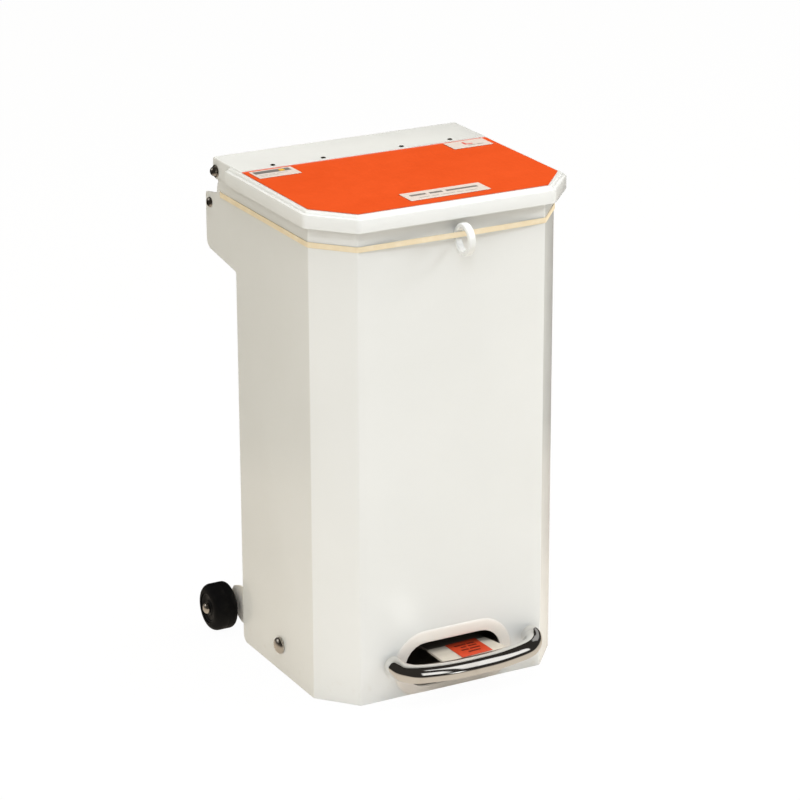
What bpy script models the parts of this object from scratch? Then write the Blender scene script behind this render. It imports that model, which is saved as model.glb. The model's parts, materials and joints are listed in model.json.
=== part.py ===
"""Pedal-operated waste bin for hospital wards, with a lift rod, a hinged lid and two rear wheels.

Metres, +Z up, front towards -Y.  The origin is on the floor, under the middle of the body.
"""

import math

import bmesh
import bpy
from mathutils import Matrix, Vector

# ---------------------------------------------------------------- driving sizes
GAP = 0.0003                      # between pieces that touch
SHEET = 0.0015                    # body and lid steel
CUT = 0.02                        # how far a cutter runs past a wall

BODY_WIDTH = 0.345
BODY_DEPTH = 0.254
BODY_TOP = 0.641
CHAMFER_X = 0.042
CHAMFER_Y = 0.0489
FOLD_RADIUS = 0.004
RIM_WIDTH = 0.012

HALF_WIDTH = BODY_WIDTH / 2
FRONT = -BODY_DEPTH / 2
BACK = BODY_DEPTH / 2
INSIDE = HALF_WIDTH - SHEET       # inner face of a side panel

WING_BACK = 0.2136
WING_BOTTOM = 0.5097
WING_BOTTOM_BACK = 0.5222
WING_TOP_BACK = 0.5949
WING_TOP_FRONT = 0.6008
NECK_BACK_LOW = 0.1803
NECK_BACK_HIGH = 0.1755
NECK_HEIGHT = 0.619

HINGE_Y = 0.173
HINGE_Z = 0.6315
NECK_LOBE = 0.0092
HINGE_LOBE = 0.0105
BOLT_SHANK = 0.004
BOLT_HOLE = 0.0043

LID_HALF = 0.1841
LID_FRONT = -0.1418
LID_REAR = 0.130
LID_CHAMFER_X = 0.0477
LID_CHAMFER_Y = 0.0527
LID_CORNER = 0.012                # at the skirt; tighter towards the middle
SKIRT_BOTTOM = 0.626
LID_RIM_TOP = 0.6433
LID_TOP = 0.6468
COLOUR_HALF = 0.1745
COLOUR_FRONT = -0.1317
COLOUR_REAR = 0.0997
COLOUR_CHAMFER_X = 0.0428
COLOUR_CHAMFER_Y = 0.0489
COLOUR_THICKNESS = 0.0006
HINGE_PLATE_HALF = 0.1757
HINGE_PLATE_SHEET = 0.0012
HINGE_PLATE_FRONT = 0.100
HINGE_PLATE_REAR = 0.1815
HINGE_FLANGE_BOTTOM = 0.6236

PEDAL_Y = 0.0153                  # pedal pivot
PEDAL_Z = 0.0370
SHAFT_RADIUS = 0.006
PLATE_TOP = 0.0503
PLATE_SHEET = 0.003
TREAD_LEFT = -0.028
TREAD_RIGHT = 0.069               # the right edge flares towards the bar
TREAD_RIGHT_NECK = 0.057
LEVER_HALF = 0.045
BAR_X = 0.0124
BAR_RADIUS = 0.0123
BAR_WALL = 0.0015
BAR_SIDES = 20
PLUG_PROUD = 0.0008
BAR_HALF_ROUTE = (                # the bar's centre line, from its middle to one end
    (0.0, -0.1649, 0.0402),
    (0.0323, -0.1644, 0.0406),
    (0.0605, -0.1615, 0.0417),
    (0.0827, -0.1572, 0.0432),
    (0.0945, -0.1482, 0.0448),
    (0.0992, -0.1400, 0.0480),
    (0.0997, -0.1355, 0.0494),
    (0.0997, -0.1313, 0.0497),
)
SLOT_X = 0.0016
SLOT_HALF = 0.0694                # stadium opening for the pedal
SLOT_RADIUS = 0.0301
SLOT_Z = 0.0381
SWAGE_LOWEST = 0.0006
SWAGE_STEPS = (                   # height above the panel, reach beyond the slot
    (-0.0008, 0.0155), (0.0003, 0.0155), (0.0010, 0.0142), (0.0016, 0.0118), (0.0020, 0.0085),
    (0.0020, 0.0022), (0.0016, 0.0006),
)

ROD_Y = 0.1575
ROD_RADIUS = 0.004
ROD_HEAD_RADIUS = 0.008
LIFT_PIN_Y = 0.158
LIFT_PIN_Z = 0.6245
LIFT_PIN_RADIUS = 0.004
FOOT_CLEARANCE = 0.0008
HEAD_CLEARANCE = 0.0004

AXLE_Y = 0.180
WHEEL_RADIUS = 0.0316
WHEEL_INNER = 0.1683
WHEEL_OUTER = 0.2005
AXLE_RADIUS = 0.005
LUG_OUTER = 0.160

BAND_Z = 0.6013
BAND_HEIGHT = 0.007
BAND_THICKNESS = 0.001
BAND_Y = 0.169
RING_X = 0.0043
RING_Y = -0.1497
RING_Z = 0.6013
RING_RADIUS = 0.0203
RING_HOLE = 0.0145
RING_WIDTH = 0.0095
RING_STUB = 0.003

GRAB_Y = 0.2001
GRAB_Z = 0.5835
GRAB_RADIUS = 0.008
GRAB_BOLT_SHANK = 0.024

FLOOR_TOP = 0.100
FLANGE = 0.012
REAR_FOOT_RADIUS = 0.010
PANEL_BOTTOM = 0.0021
TONGUE_HALF = 0.018
TONGUE_END = 0.170
TONGUE_SLOT_LOW = 0.041
TONGUE_SLOT_HIGH = 0.080
BAR_MEETS_TREAD = -0.163
BUSH_RADIUS = 0.0078
CAP_RADIUS = 0.0110
HUB_RADIUS = 0.0200
TYRE_ROUND_INNER = 0.0065
TYRE_ROUND_OUTER = 0.0100
AXLE_CAP_RADIUS = 0.0076
BUTTON_RADIUS = 0.0068
BUTTON_HEIGHT = 0.0045
SOCKET_RADIUS = 0.0026
HINGE_HEAD_RADIUS = 0.0064
HINGE_HEAD_HEIGHT = 0.0062
HINGE_COLLAR_RADIUS = 0.0083
HINGE_COLLAR_HEIGHT = 0.0018
HINGE_NUT_HEIGHT = 0.0065
HINGE_NUT_RADIUS = 0.0075
LIFT_BRACKET_HALF = 0.020
GUIDE_LOW = 0.150
GUIDE_HIGH = 0.560
RIVET_X = (-0.1270, -0.0560, 0.0560, 0.1270)
RIVET_Y = 0.1088
RIVET_HOLE = 0.0021
RIVET_HEAD = 0.0033
BAND_AT_RING_Y = -0.1385
BAND_LIFT = 0.0032
LID_OUTSIDE_STEPS = [             # inset from the skirt, height, from the bottom edge up
    (0.0, SKIRT_BOTTOM), (0.0, LID_RIM_TOP - 0.0018), (0.0006, LID_RIM_TOP - 0.0005),
    (0.0018, LID_RIM_TOP), (0.0046, LID_RIM_TOP), (0.0055, LID_TOP - 0.0012), (0.0068, LID_TOP),
]
LABEL_THICKNESS = 0.0004
LABEL_CORNER = 0.001

ROUND = 24                        # sides of a round piece
ROUND_SMALL = 16
ROUND_TYRE = 32
SHARP = math.radians(35)


# ---------------------------------------------------------------- materials
def material(name, colour, roughness, metallic=0.0):
    made = bpy.data.materials.get(name)
    if made:
        return made
    made = bpy.data.materials.new(name)
    made.use_nodes = True
    shader = made.node_tree.nodes["Principled BSDF"]
    shader.inputs["Base Color"].default_value = (*colour, 1.0)
    shader.inputs["Roughness"].default_value = roughness
    shader.inputs["Metallic"].default_value = metallic
    made.diffuse_color = (*colour, 1.0)
    return made


def white_paint():
    return material("white_powder_coat", (0.80, 0.80, 0.76), 0.25)


def orange_panel():
    return material("orange_panel", (0.84, 0.12, 0.02), 0.3)


def chrome():
    return material("chrome", (0.75, 0.75, 0.75), 0.08, 1.0)


def zinc():
    return material("zinc_steel", (0.55, 0.55, 0.53), 0.35, 1.0)


def black_rubber():
    return material("black_rubber", (0.012, 0.012, 0.012), 0.75)


def black_plastic():
    return material("black_plastic", (0.02, 0.02, 0.02), 0.45)


def white_nylon():
    return material("white_nylon", (0.78, 0.77, 0.72), 0.45)


def latex():
    return material("tan_latex", (0.72, 0.58, 0.36), 0.6)


def tread_plate():
    return material("beige_tread", (0.58, 0.55, 0.51), 0.45)


def label_white():
    return material("label_white", (0.82, 0.81, 0.78), 0.4)


def label_red():
    return material("label_red", (0.72, 0.08, 0.03), 0.4)


# ---------------------------------------------------------------- outlines
def arc(centre, radius, start, end, steps):
    """Points on an arc, angles in degrees."""
    angles = [math.radians(start + (end - start) * i / steps) for i in range(steps + 1)]
    return [(centre[0] + radius * math.cos(a), centre[1] + radius * math.sin(a)) for a in angles]


def rounded(points, radii, steps=4):
    """A closed outline with each corner turned into an arc of its own radius."""
    outline = []
    count = len(points)
    for i, radius in enumerate(radii):
        corner = Vector(points[i])
        if radius == 0:
            outline.append(tuple(corner))
            continue
        before = (Vector(points[i - 1]) - corner).normalized()
        after = (Vector(points[(i + 1) % count]) - corner).normalized()
        half_angle = before.angle(after) / 2
        reach = radius / math.tan(half_angle)
        centre = corner + (before + after).normalized() * (radius / math.sin(half_angle))
        first = corner + before * reach - centre
        turn = first.angle_signed(corner + after * reach - centre)
        for step in range(steps + 1):
            angle = -turn * step / steps
            spoke = Vector((
                first.x * math.cos(angle) - first.y * math.sin(angle),
                first.x * math.sin(angle) + first.y * math.cos(angle),
            ))
            outline.append(tuple(centre + spoke))
    return outline


def stadium(half_length, radius, centre):
    """An outline with straight top and bottom and round ends."""
    reach = half_length - radius
    right = arc((centre[0] + reach, centre[1]), radius, -90, 90, 12)
    left = arc((centre[0] - reach, centre[1]), radius, 90, 270, 12)
    return right + left


def front_corners(half, front, rear, chamfer_x, chamfer_y):
    """The open run of corners that a chamfered front makes, from rear left to rear right."""
    return [
        (-half, rear), (-half, front + chamfer_y), (-half + chamfer_x, front),
        (half - chamfer_x, front), (half, front + chamfer_y), (half, rear),
    ]


def inset_corners(corners, amount):
    """The same open run moved inwards by an amount; its two ends stay on their rear lines."""
    lines = []
    for start, end in zip(corners, corners[1:]):
        along = (Vector(end) - Vector(start)).normalized()
        inwards = Vector((-along.y, along.x))
        lines.append((Vector(start) + inwards * amount, along))
    moved = [tuple(lines[0][0])]
    for (a, u), (b, v) in zip(lines, lines[1:]):
        reach = (b - a).cross(v) / u.cross(v)
        moved.append(tuple(a + u * reach))
    last, along = lines[-1]
    length = (Vector(corners[-1]) - Vector(corners[-2])).length
    end = last + along * length
    moved.append((end.x, corners[-1][1]))
    return moved


def panel_outline(half, front, rear, chamfer_x, chamfer_y, inset=0.0, corner=0.0):
    """Closed, chamfered front outline, moved inwards and with its corners rounded."""
    corners = inset_corners(front_corners(half, front, rear, chamfer_x, chamfer_y), inset)
    if corner == 0:
        return corners
    return rounded(corners, [0, corner, corner, corner, corner, 0])


# ---------------------------------------------------------------- building blocks
def finish(name, mesh_data, shade, smooth=True):
    """Turn a bmesh into an object whose faces point outwards."""
    bmesh.ops.recalc_face_normals(mesh_data, faces=mesh_data.faces)
    mesh = bpy.data.meshes.new(name)
    mesh_data.to_mesh(mesh)
    mesh_data.free()
    if smooth:
        mesh.shade_smooth()
        mesh.set_sharp_from_angle(angle=SHARP)
    made = bpy.data.objects.new(name, mesh)
    bpy.context.scene.collection.objects.link(made)
    if shade:
        mesh.materials.append(shade)
    return made


def place(axis, along, across, up):
    """A point given along an extrusion axis and on the plane square to it."""
    if axis == "X":
        return Vector((along, across, up))
    if axis == "Y":
        return Vector((across, along, up))
    return Vector((across, up, along))


def add_prism(mesh_data, outline, axis, start, end):
    rings = []
    for along in (start, end):
        rings.append([mesh_data.verts.new(place(axis, along, *point)) for point in outline])
    count = len(outline)
    for i in range(count):
        after = (i + 1) % count
        mesh_data.faces.new((rings[0][i], rings[0][after], rings[1][after], rings[1][i]))
    mesh_data.faces.new(rings[0])
    mesh_data.faces.new(rings[1])


def prism(name, outline, axis, start, end, shade):
    """An outline extruded along one axis."""
    mesh_data = bmesh.new()
    add_prism(mesh_data, outline, axis, start, end)
    return finish(name, mesh_data, shade)


def box(name, low, high, shade):
    outline = [(low[0], low[1]), (high[0], low[1]), (high[0], high[1]), (low[0], high[1])]
    return prism(name, outline, "Z", low[2], high[2], shade)


def add_turned(mesh_data, profile, axis, centre, sides=ROUND):
    """A closed (along, radius) profile turned about an axis through the centre."""
    count = len(profile)
    on_axis = [abs(point[1]) < 1e-9 for point in profile]
    rings = []
    for (along, radius), single in zip(profile, on_axis):
        ring = []
        for i in range(1 if single else sides):
            angle = 2 * math.pi * i / sides
            offset = place(axis, along, radius * math.cos(angle), radius * math.sin(angle))
            ring.append(mesh_data.verts.new(Vector(centre) + offset))
        rings.append(ring)
    for i in range(count):
        here = rings[i]
        there = rings[(i + 1) % count]
        if len(here) == 1 and len(there) == 1:
            continue
        for j in range(sides):
            after = (j + 1) % sides
            corners = [here[j % len(here)], here[after % len(here)]]
            corners += [there[after % len(there)], there[j % len(there)]]
            unique = list(dict.fromkeys(corners))
            mesh_data.faces.new(unique)


def turned(name, profile, axis, centre, shade, sides=ROUND):
    mesh_data = bmesh.new()
    add_turned(mesh_data, profile, axis, centre, sides)
    return finish(name, mesh_data, shade)


def rod_profile(start, end, radius, bore=0.0):
    return [(start, bore), (start, radius), (end, radius), (end, bore)]


def ring_section(start, end, inner, outer, corner, steps=2):
    """A rounded rectangular (along, radius) section."""
    corners = [(start, inner), (start, outer), (end, outer), (end, inner)]
    return rounded(corners, [corner] * 4, steps)


def smooth_route(points, steps):
    """Catmull-Rom points through a list of places."""
    places = [Vector(point) for point in points]
    padded = [2 * places[0] - places[1], *places, 2 * places[-1] - places[-2]]
    route = []
    for i in range(1, len(padded) - 2):
        a, b, c, d = padded[i - 1:i + 3]
        for step in range(steps):
            t = step / steps
            bend = (2 * a - 5 * b + 4 * c - d) * t * t + (3 * b - a - 3 * c + d) * t ** 3
            route.append((2 * b + (c - a) * t + bend) / 2)
    route.append(places[-1])
    return route


def sweep_rings(mesh_data, route, radius, sides):
    """Rings of a round section carried along a route without twist."""
    rings = []
    previous = None
    for i, here in enumerate(route):
        along = (route[min(i + 1, len(route) - 1)] - route[max(i - 1, 0)]).normalized()
        if previous is None:
            side = along.cross(Vector((0, 0, 1))).normalized()
        else:
            side = (previous - along * previous.dot(along)).normalized()
        previous = side
        up = side.cross(along)
        ring = []
        for j in range(sides):
            angle = 2 * math.pi * j / sides
            spoke = side * math.cos(angle) + up * math.sin(angle)
            ring.append(mesh_data.verts.new(here + spoke * radius))
        rings.append(ring)
    return rings


def join_rings(mesh_data, first, second):
    count = len(first)
    for i in range(count):
        after = (i + 1) % count
        mesh_data.faces.new((first[i], first[after], second[after], second[i]))


def swept(name, route, radius, shade, bore=0.0, sides=ROUND):
    """A solid bar, or a tube open at both ends, along a route."""
    mesh_data = bmesh.new()
    outer = sweep_rings(mesh_data, route, radius, sides)
    for first, second in zip(outer, outer[1:]):
        join_rings(mesh_data, first, second)
    if bore > 0:
        inner = sweep_rings(mesh_data, route, bore, sides)
        for first, second in zip(inner, inner[1:]):
            join_rings(mesh_data, first, second)
        join_rings(mesh_data, outer[0], inner[0])
        join_rings(mesh_data, outer[-1], inner[-1])
    else:
        mesh_data.faces.new(outer[0])
        mesh_data.faces.new(outer[-1])
    return finish(name, mesh_data, shade)


def combine(target, other, operation):
    """A Boolean whose second shape is hidden from the build."""
    other.hide_render = True
    other.display_type = "WIRE"
    step = target.modifiers.new(operation.lower(), "BOOLEAN")
    step.operation = operation
    step.solver = "EXACT"
    step.object = other


def cut_holes(target, axis, radius, start, end, places):
    """Round holes along one axis, at (across, up) places."""
    mesh_data = bmesh.new()
    for across, up in places:
        centre = place(axis, 0.0, across, up)
        add_turned(mesh_data, rod_profile(start, end, radius), axis, centre, 24)
    cutter = finish(f"cut_{target.name}_{axis}_{len(target.modifiers)}", mesh_data, None)
    combine(target, cutter, "DIFFERENCE")


def mirrored_pair(build):
    """Build a piece on the left (-1) and on the right (+1)."""
    for side, word in ((-1, "left"), (1, "right")):
        build(side, word)


# ---------------------------------------------------------------- body
def folded_sheet(name, rear, bottom, top):
    """The front, chamfers and sides as one folded sheet, open at the back."""
    outer = front_corners(HALF_WIDTH, FRONT, rear, CHAMFER_X, CHAMFER_Y)
    inner = inset_corners(outer, SHEET)
    corners = outer + inner[::-1]
    bends = [0] + [FOLD_RADIUS] * 4 + [0, 0] + [FOLD_RADIUS - SHEET] * 4 + [0]
    return prism(name, rounded(corners, bends), "Z", bottom, top, white_paint())


def side_profile():
    """The outline of the body's side, with its wing and neck, in the YZ plane."""
    past_front = FRONT - CUT
    corners = [
        (past_front, 0.0), (BACK, 0.0), (BACK, WING_BOTTOM),
        (WING_BACK, WING_BOTTOM_BACK), (WING_BACK, WING_TOP_BACK),
        (NECK_BACK_LOW, WING_TOP_FRONT), (NECK_BACK_HIGH, NECK_HEIGHT),
    ]
    outline = rounded(corners, [0, REAR_FOOT_RADIUS, 0.004, 0.012, 0.005, 0.001, 0.002])
    outline += arc((HINGE_Y, HINGE_Z), NECK_LOBE, -40, 80, 8)
    outline += [(HINGE_Y - NECK_LOBE, BODY_TOP), (past_front, BODY_TOP)]
    return outline


def body_shell():
    shell = folded_sheet("body_shell", WING_BACK + CUT, -CUT, BODY_TOP + CUT)
    trim = prism("trim_side_profile", side_profile(), "X", -HALF_WIDTH - CUT, HALF_WIDTH + CUT, None)
    combine(shell, trim, "INTERSECT")

    rim_outer = front_corners(HALF_WIDTH - SHEET / 2, FRONT + SHEET / 2, BACK - 0.017, CHAMFER_X, CHAMFER_Y)
    rim_inner = inset_corners(rim_outer, RIM_WIDTH)
    rim = prism("add_rim", rim_outer + rim_inner[::-1], "Z", BODY_TOP - 2 * SHEET, BODY_TOP - SHEET / 2, None)
    combine(shell, rim, "UNION")

    combine(shell, slot_swage(), "UNION")
    opening = stadium(SLOT_HALF, SLOT_RADIUS, (SLOT_X, SLOT_Z))
    slot = prism("cut_pedal_slot", opening, "Y", FRONT - CUT, FRONT + CUT, None)
    combine(shell, slot, "DIFFERENCE")
    side_holes(shell)
    return shell


def slot_swage():
    """The raised, rounded rim pressed outwards around the pedal slot."""
    mesh_data = bmesh.new()
    rings = []
    for height, reach in SWAGE_STEPS:
        outline = stadium(SLOT_HALF + reach, SLOT_RADIUS + reach, (SLOT_X, SLOT_Z))
        ring = [mesh_data.verts.new((x, FRONT - height, max(z, SWAGE_LOWEST))) for x, z in outline]
        rings.append(ring)
    for first, second in zip(rings, rings[1:]):
        join_rings(mesh_data, first, second)
    mesh_data.faces.new(rings[0])
    mesh_data.faces.new(rings[-1])
    return finish("add_swage", mesh_data, None)


def side_holes(shell):
    """Bolt, shaft and band holes through both sides, and the ring's hole in the front."""
    reach = HALF_WIDTH + CUT
    hinge_and_grab = [(HINGE_Y, HINGE_Z), (GRAB_Y, GRAB_Z)]
    cut_holes(shell, "X", BOLT_HOLE, -reach, reach, hinge_and_grab)
    cut_holes(shell, "X", SHAFT_RADIUS + GAP, -reach, reach, [(PEDAL_Y, PEDAL_Z)])
    cut_holes(shell, "Y", RING_STUB + GAP, FRONT - CUT, FRONT + CUT, [(RING_X, RING_Z)])
    slot = box(
        "cut_band_slots",
        (-reach, BAND_Y - 0.0014, BAND_Z - BAND_HEIGHT / 2 - 0.001),
        (reach, BAND_Y + 0.0019, BAND_Z + BAND_HEIGHT / 2 + 0.001),
        None,
    )
    combine(shell, slot, "DIFFERENCE")


def back_panel():
    """The back sheet with its side flanges turned forwards, and a slot for the lever's tongue."""
    half = INSIDE - GAP
    front_of_flange = BACK - FLANGE
    outer = [(half, front_of_flange), (half, BACK), (-half, BACK), (-half, front_of_flange)]
    outline = outer + inset_corners(outer, SHEET)[::-1]
    panel = prism("back_panel", outline, "Z", PANEL_BOTTOM, BODY_TOP, white_paint())
    top_flange = box(
        "add_top_flange",
        (-half + 2 * SHEET, front_of_flange, BODY_TOP - 2 * SHEET),
        (half - 2 * SHEET, BACK - SHEET / 2, BODY_TOP - SHEET / 2),
        None,
    )
    combine(panel, top_flange, "UNION")
    slot = box(
        "cut_tongue_slot",
        (-TONGUE_HALF - 0.006, BACK - CUT, TONGUE_SLOT_LOW),
        (TONGUE_HALF + 0.006, BACK + CUT, TONGUE_SLOT_HIGH),
        None,
    )
    combine(panel, slot, "DIFFERENCE")
    return panel


def tray(name, bottom, top, lip_up):
    """A flat sheet with an edge flange, shaped to fit inside the body."""
    clearance = SHEET + GAP
    rear = BACK - SHEET - GAP
    sizes = (HALF_WIDTH - 2 * clearance, FRONT + clearance, rear)
    outer = panel_outline(*sizes, CHAMFER_X, CHAMFER_Y, corner=FOLD_RADIUS)
    pan = prism(name, outer, "Z", bottom, top, zinc())
    inner = panel_outline(*sizes[:2], rear - SHEET, CHAMFER_X, CHAMFER_Y, SHEET, FOLD_RADIUS - SHEET)
    low, high = (bottom + SHEET, top + CUT) if lip_up else (bottom - CUT, top - SHEET)
    hollow = prism(f"cut_{name}", inner, "Z", low, high, None)
    combine(pan, hollow, "DIFFERENCE")
    return pan


def base_plate():
    return tray("base_plate", 0.0, FLANGE, True)


def inner_floor():
    return tray("inner_floor", FLOOR_TOP - FLANGE, FLOOR_TOP, False)


def grab_bar():
    """The round bar between the wings, and a button-head bolt into each end."""
    reach = INSIDE - GAP
    turned("grab_bar", rod_profile(-reach, reach, GRAB_RADIUS, BOLT_HOLE), "X", (0, GRAB_Y, GRAB_Z), zinc())

    def build(side, word):
        button_bolt(f"grab_bar_bolt_{word}", side, HALF_WIDTH, GRAB_Y, GRAB_Z, GRAB_BOLT_SHANK)
    mirrored_pair(build)


def dome(face, side, radius, height, steps=4):
    """The (along, radius) points of a domed head that stands on a face."""
    points = arc((0.0, 0.0), 1.0, 0, 90, steps)
    return [(side * (face + height * up), radius * out) for out, up in points]


def button_bolt(name, side, face, across, up, shank):
    profile = dome(face + GAP, side, BUTTON_RADIUS, BUTTON_HEIGHT)
    end = side * (face - shank)
    profile += [(end, 0.0), (end, BOLT_SHANK), (side * (face + GAP), BOLT_SHANK)]
    bolt = turned(name, profile, "X", (0, across, up), zinc())
    socket_outline = arc((across, up), SOCKET_RADIUS, 0, 300, 5)
    ends = sorted((side * (face + BUTTON_HEIGHT / 3), side * (face + CUT)))
    combine(bolt, prism(f"cut_{name}_socket", socket_outline, "X", *ends, None), "DIFFERENCE")
    return bolt


# ---------------------------------------------------------------- lid
def lid_tray():
    """The pressed lid: skirt, rim and raised middle, one sheet thick, open at the back."""
    outside = LID_OUTSIDE_STEPS
    inside = [(inset + SHEET, up - SHEET if up > SKIRT_BOTTOM else up) for inset, up in outside]
    mesh_data = bmesh.new()
    layers = []
    for inset, up in outside + inside[::-1]:
        outline = panel_outline(
            LID_HALF, LID_FRONT, LID_REAR, LID_CHAMFER_X, LID_CHAMFER_Y, inset, LID_CORNER - inset
        )
        layers.append([mesh_data.verts.new((x, y, up)) for x, y in outline])
    count = len(layers)
    fold = len(outside)
    for k in range(count):
        if k == fold - 1:
            continue
        first = layers[k]
        second = layers[(k + 1) % count]
        for i in range(len(first) - 1):
            mesh_data.faces.new((first[i], first[i + 1], second[i + 1], second[i]))
    mesh_data.faces.new(layers[fold - 1])
    mesh_data.faces.new(layers[fold])
    rear = [layer[0] for layer in layers[:fold]] + [layer[-1] for layer in layers[:fold]][::-1]
    rear += [layer[-1] for layer in layers[fold:]][::-1] + [layer[0] for layer in layers[fold:]]
    mesh_data.faces.new(rear)
    lid = finish("lid_tray", mesh_data, white_paint())
    cut_holes(lid, "Z", RIVET_HOLE, LID_TOP - CUT, LID_TOP + CUT, [(x, RIVET_Y) for x in RIVET_X])
    return lid


def lid_colour_panel():
    outline = panel_outline(
        COLOUR_HALF, COLOUR_FRONT, COLOUR_REAR, COLOUR_CHAMFER_X, COLOUR_CHAMFER_Y, corner=0.001
    )
    bottom = LID_TOP + GAP
    return prism("lid_colour_panel", outline, "Z", bottom, bottom + COLOUR_THICKNESS, orange_panel())


def hinge_plate():
    """The cover over the back of the lid, with a flange at each side that carries the hinge."""
    top = LID_TOP + GAP + HINGE_PLATE_SHEET
    low = HINGE_FLANGE_BOTTOM - CUT
    half = HINGE_PLATE_HALF
    outer = [(-half, low), (-half, top), (half, top), (half, low)]
    inner = [(x, z) for x, z in inset_corners([(-x, z) for x, z in outer], HINGE_PLATE_SHEET)]
    corners = outer + inner
    bend = 0.0022
    radii = [0, bend, bend, 0, 0, bend - HINGE_PLATE_SHEET, bend - HINGE_PLATE_SHEET, 0]
    front, rear = HINGE_PLATE_FRONT - CUT, HINGE_PLATE_REAR + CUT
    plate = prism("hinge_plate", rounded(corners, radii), "Y", front, rear, white_paint())

    front_of_flange = LID_REAR + 0.003
    step = LID_TOP + GAP / 2
    corners = [
        (HINGE_PLATE_FRONT, top + CUT), (HINGE_PLATE_FRONT, step), (front_of_flange, step),
        (front_of_flange, HINGE_FLANGE_BOTTOM), (HINGE_Y - 0.010, HINGE_FLANGE_BOTTOM),
    ]
    outline = rounded(corners, [0, 0, 0, 0.003, 0])
    outline += arc((HINGE_Y, HINGE_Z), HINGE_LOBE, -110, 20, 10)
    outline += [(HINGE_PLATE_REAR, LID_TOP), (HINGE_PLATE_REAR, top + CUT)]
    trim = prism("trim_hinge_plate", outline, "X", -half - CUT, half + CUT, None)
    combine(plate, trim, "INTERSECT")
    cut_holes(plate, "X", BOLT_HOLE, -half - CUT, half + CUT, [(HINGE_Y, HINGE_Z)])
    cut_holes(plate, "Z", RIVET_HOLE, LID_TOP - CUT, LID_TOP + CUT, [(x, RIVET_Y) for x in RIVET_X])
    return plate


def hinge_rivets():
    """Four rivets that hold the lid tray under the hinge plate."""
    face = LID_TOP + GAP + HINGE_PLATE_SHEET + GAP
    under = LID_TOP - SHEET - GAP
    for number, x in enumerate(RIVET_X, 1):
        profile = [(face + 0.0011 * up, RIVET_HEAD * out) for out, up in arc((0, 0), 1.0, 0, 90, 4)]
        profile += [(under - 0.002, 0.0), (under - 0.002, RIVET_HEAD * 0.6), (under, RIVET_HEAD * 0.7)]
        profile += [(under, RIVET_HOLE - GAP), (face, RIVET_HOLE - GAP)]
        turned(f"hinge_rivet_{number}", profile, "Z", (x, RIVET_Y, 0), zinc(), ROUND_SMALL)


def hinge_bolts():
    """A domed bolt, a washer and a nut at each side; the lid turns on the bolts."""
    def build(side, word):
        centre = (0, HINGE_Y, HINGE_Z)
        head = HINGE_PLATE_HALF + GAP
        end = INSIDE - GAP - HINGE_NUT_HEIGHT - 0.0025
        collar = head + HINGE_COLLAR_HEIGHT
        profile = [(side * head, HINGE_COLLAR_RADIUS), (side * collar, HINGE_COLLAR_RADIUS - 0.0005)]
        profile += dome(collar, side, HINGE_HEAD_RADIUS, HINGE_HEAD_HEIGHT)
        profile += [(side * end, 0.0), (side * end, BOLT_SHANK), (side * head, BOLT_SHANK)]
        turned(f"hinge_bolt_{word}", profile, "X", centre, zinc())
        washer_inner = HALF_WIDTH + GAP
        washer_outer = HINGE_PLATE_HALF - HINGE_PLATE_SHEET - GAP
        profile = rod_profile(side * washer_inner, side * washer_outer, 0.008, BOLT_HOLE)
        turned(f"hinge_washer_{word}", profile, "X", centre, white_nylon())
        nut_face = INSIDE - GAP
        nut_ends = side * nut_face, side * (nut_face - HINGE_NUT_HEIGHT)
        hex_nut(f"hinge_nut_{word}", "X", *nut_ends, HINGE_Y, HINGE_Z, HINGE_NUT_RADIUS)
    mirrored_pair(build)


def hex_nut(name, axis, start, end, across, up, radius):
    """A six-sided nut that clears its bolt by one gap."""
    nut = prism(name, arc((across, up), radius, 0, 300, 5), axis, min(start, end), max(start, end), zinc())
    bore = BOLT_HOLE if axis == "X" else RING_STUB + GAP
    cut_holes(nut, axis, bore, min(start, end) - CUT, max(start, end) + CUT, [(across, up)])
    return nut


def lift_bracket():
    """A bridge under the hinge plate whose two cheeks hold the pin that the lift rod pushes."""
    top = LID_TOP
    low = LIFT_PIN_Z - 0.008
    half = LIFT_BRACKET_HALF
    sheet = 0.002
    inside = half - sheet
    outer = [(-half, low), (-half, top), (half, top), (half, low)]
    inner = [(inside, low), (inside, top - sheet), (-inside, top - sheet), (-inside, low)]
    bracket = prism("lift_bracket", outer + inner, "Y", 0.138, 0.170, zinc())
    corners = [(0.13, top + CUT), (0.13, top - 0.006), (LIFT_PIN_Y - 0.012, LIFT_PIN_Z)]
    outline = corners + arc((LIFT_PIN_Y, LIFT_PIN_Z), 0.007, 190, 350, 8)
    outline += [(0.169, top - 0.008), (0.175, top + CUT)]
    trim = prism("trim_lift_bracket", outline, "X", -half - CUT, half + CUT, None)
    combine(bracket, trim, "INTERSECT")
    cut_holes(bracket, "X", LIFT_PIN_RADIUS + GAP, -half - CUT, half + CUT, [(LIFT_PIN_Y, LIFT_PIN_Z)])
    reach = half + 0.002
    centre = (0, LIFT_PIN_Y, LIFT_PIN_Z)
    turned("lift_pin", rod_profile(-reach, reach, LIFT_PIN_RADIUS), "X", centre, zinc())


def lid_buffers():
    """Rubber pads on the front rim that the lid closes on."""
    height = LID_TOP - SHEET - GAP - (BODY_TOP - SHEET / 2 + GAP)
    profile = [(0.0, 0.0), (0.0, 0.0062), (height * 0.5, 0.0055), (height, 0.0045), (height, 0.0)]
    def build(side, word):
        centre = (side * 0.105, FRONT + 0.0085, BODY_TOP - SHEET / 2 + GAP)
        turned(f"lid_buffer_{word}", profile, "Z", centre, black_rubber(), ROUND_SMALL)
    mirrored_pair(build)


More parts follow.
